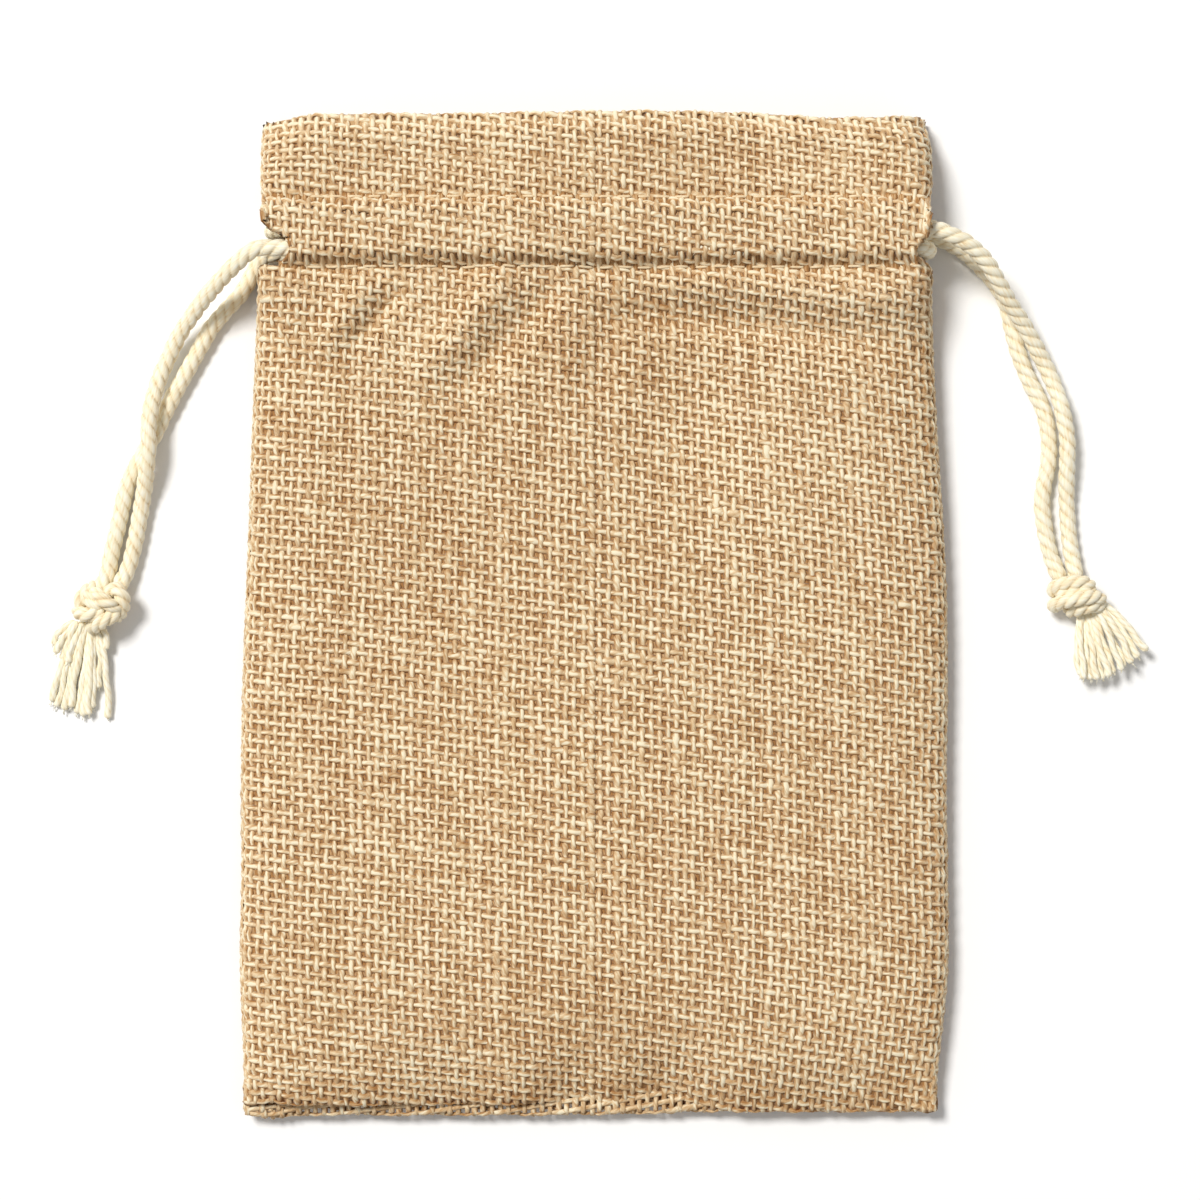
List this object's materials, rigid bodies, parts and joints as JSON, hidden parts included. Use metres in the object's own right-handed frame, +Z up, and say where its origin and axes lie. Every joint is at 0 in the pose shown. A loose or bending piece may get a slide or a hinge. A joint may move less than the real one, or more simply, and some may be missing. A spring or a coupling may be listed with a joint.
{
  "type": "drawstring gift pouch",
  "caption": "Flat plain-weave cloth gift pouch with a double drawstring; each twisted cord runs through both neck channels and ends in a knot with a frayed tassel.",
  "frame": {"origin": "middle of the pouch on the surface it lies on, without its cord tails", "axes": "+Y towards the mouth along the pouch, +Z up out of the front panel, +X to the right seen from above"},
  "size_m": [0.1554, 0.1396, 0.0133],
  "materials": {
    "cloth": "plain weave of slubby natural yarn",
    "cloth_inside": "inside of the plain weave",
    "thread": "sewing thread",
    "cord": "soft twisted cotton cord",
    "tassel": "frayed cotton yarn ends"
  },
  "bodies": {
    "pouch": {"front_panel": "cloth", "back_panel": "cloth", "front_hem": "cloth_inside", "back_hem": "cloth_inside", "left_side_seam": "cloth_inside", "right_side_seam": "cloth_inside", "left_header_seam": "cloth_inside", "right_header_seam": "cloth_inside", "bottom_seam": "cloth_inside", "front_upper_stitching": "thread", "front_lower_stitching": "thread", "back_upper_stitching": "thread", "back_lower_stitching": "thread", "left_seam_thread": "thread", "right_seam_thread": "thread", "bottom_seam_thread": "thread"},
    "left_cord": {"left_cord_loop": "cord"},
    "left_tail": {"left_upper_tail": "cord", "left_lower_tail": "cord", "left_knot": "cord", "left_tassel": "tassel"},
    "right_cord": {"right_cord_loop": "cord"},
    "right_tail": {"right_upper_tail": "cord", "right_lower_tail": "cord", "right_knot": "cord", "right_tassel": "tassel"}
  },
  "joints": [
    {"name": "left_cord_pull", "type": "slide", "parent": "pouch", "child": "left_cord", "axis": [-1, 0, 0], "range_m": [0, 0.022], "deforming": ["left_cord_loop"]},
    {"name": "left_tail_swing", "type": "hinge", "parent": "left_cord", "child": "left_tail", "pos_m": [-0.0464, 0.0507, 0], "axis": [0, 0, 1], "range_deg": [-60, 4]},
    {"name": "right_cord_pull", "type": "slide", "parent": "pouch", "child": "right_cord", "axis": [1, 0, 0], "range_m": [0, 0.022], "deforming": ["right_cord_loop"]},
    {"name": "right_tail_swing", "type": "hinge", "parent": "right_cord", "child": "right_tail", "pos_m": [0.0464, 0.0534, 0], "axis": [0, 0, 1], "range_deg": [-4, 60]}
  ]
}
